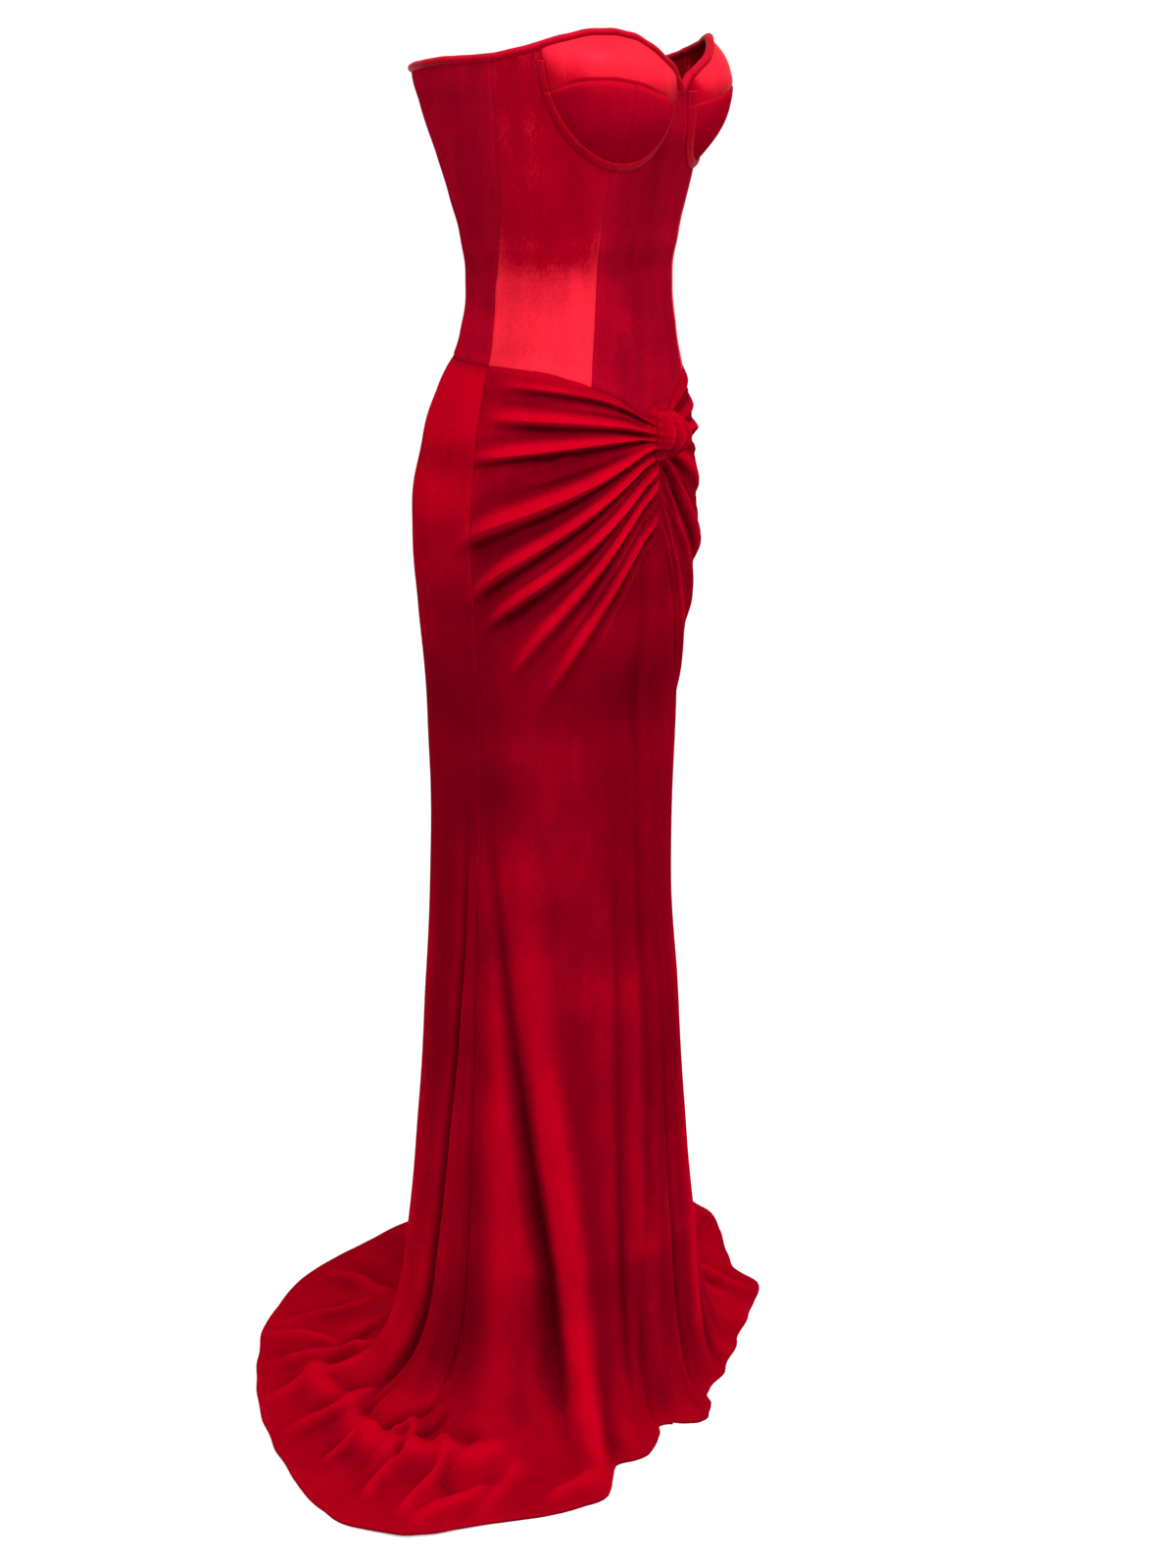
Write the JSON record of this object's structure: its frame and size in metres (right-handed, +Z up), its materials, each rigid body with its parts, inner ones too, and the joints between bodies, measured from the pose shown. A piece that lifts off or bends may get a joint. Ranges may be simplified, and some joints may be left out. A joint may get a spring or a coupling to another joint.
{
  "type": "mermaid gown",
  "caption": "Strapless red velvet mermaid gown with underwired cups, dropped waist seam, gathers drawn into a centre-front knot and a sweep train.",
  "frame": {"origin": "middle of the waist, where the wearer's body holds the gown", "axes": "+Z up, -Y toward the front of the gown, +X toward the wearer's left"},
  "size_m": [0.9699, 0.6101, 1.3693],
  "materials": {
    "bodice_velvet": "soft sheen",
    "cup_velvet": "soft sheen",
    "trim_velvet": "soft sheen",
    "skirt_velvet": "pile with sheen"
  },
  "bodies": {
    "root": {"bodice_front_right": "bodice_velvet", "bodice_front_left": "bodice_velvet", "bodice_side_right": "bodice_velvet", "bodice_side_left": "bodice_velvet", "bodice_back_right": "bodice_velvet", "bodice_back_left": "bodice_velvet", "cup_band_right": "cup_velvet", "cup_band_left": "cup_velvet", "cup_inner_right": "cup_velvet", "cup_inner_left": "cup_velvet", "cup_outer_right": "cup_velvet", "cup_outer_left": "cup_velvet", "wire_casing_right": "trim_velvet", "wire_casing_left": "trim_velvet", "neckline_binding": "trim_velvet", "skirt_front_right": "skirt_velvet", "skirt_front_left": "skirt_velvet", "skirt_back_right": "skirt_velvet", "skirt_back_left": "skirt_velvet", "knot_wrap": "skirt_velvet"}
  },
  "joints": []
}
